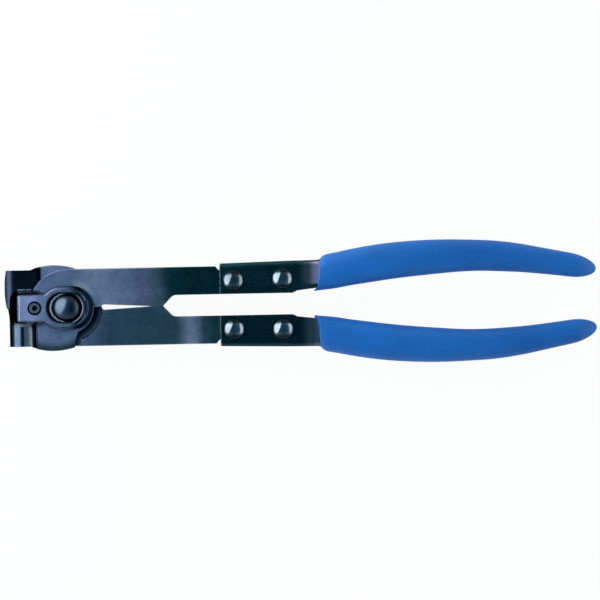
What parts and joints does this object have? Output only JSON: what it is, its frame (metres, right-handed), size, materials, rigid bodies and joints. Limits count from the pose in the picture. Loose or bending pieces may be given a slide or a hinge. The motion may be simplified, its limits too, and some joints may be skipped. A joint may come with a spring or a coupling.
{
  "type": "ear clamp pliers",
  "caption": "Long-handled pliers whose two pocketed jaws pinch the ear of a hose clamp, under a swivelling centre bar with a set screw.",
  "frame": {"origin": "on the pivot axis, at the flat outer face of the pivot pin's tail", "axes": "+Z along the pivot axis towards the domed head and the set screw, +X along the closed pliers towards the handles, +Y towards the front arm's handle"},
  "size_m": [0.2869, 0.0594, 0.0271],
  "materials": {
    "blackened_steel": "satin blued",
    "black_enamel": "semi-gloss",
    "bright_steel": "polished",
    "blue_grip": "satin dipped vinyl"
  },
  "bodies": {
    "rear_half": {"rear_arm": "blackened_steel", "rear_handle_channel": "black_enamel", "rear_grip": "blue_grip", "rear_rivet_1": "black_enamel", "rear_rivet_2": "black_enamel", "pivot_pin": "black_enamel", "pivot_washer": "bright_steel"},
    "front_half": {"front_arm": "blackened_steel", "front_handle_channel": "black_enamel", "front_grip": "blue_grip", "front_rivet_1": "black_enamel", "front_rivet_2": "black_enamel"},
    "bar": {"centre_bar": "blackened_steel"},
    "screw": {"set_screw": "black_enamel"}
  },
  "joints": [
    {"name": "handle_hinge", "type": "hinge", "parent": "rear_half", "child": "front_half", "pos_m": [0, 0, 0], "axis": [0, 0, 1], "range_deg": [0, 10]},
    {"name": "bar_swivel", "type": "hinge", "parent": "rear_half", "child": "bar", "pos_m": [0, 0, 0], "axis": [0, 0, 1], "range_deg": [0, 5]},
    {"name": "screw_travel", "type": "slide", "parent": "bar", "child": "screw", "axis": [0, 0, -1], "range_m": [-0.0015, 0.004]}
  ],
  "couplings": [
    {"joint": "bar_swivel", "follows": "handle_hinge", "ratio": 0.5}
  ]
}
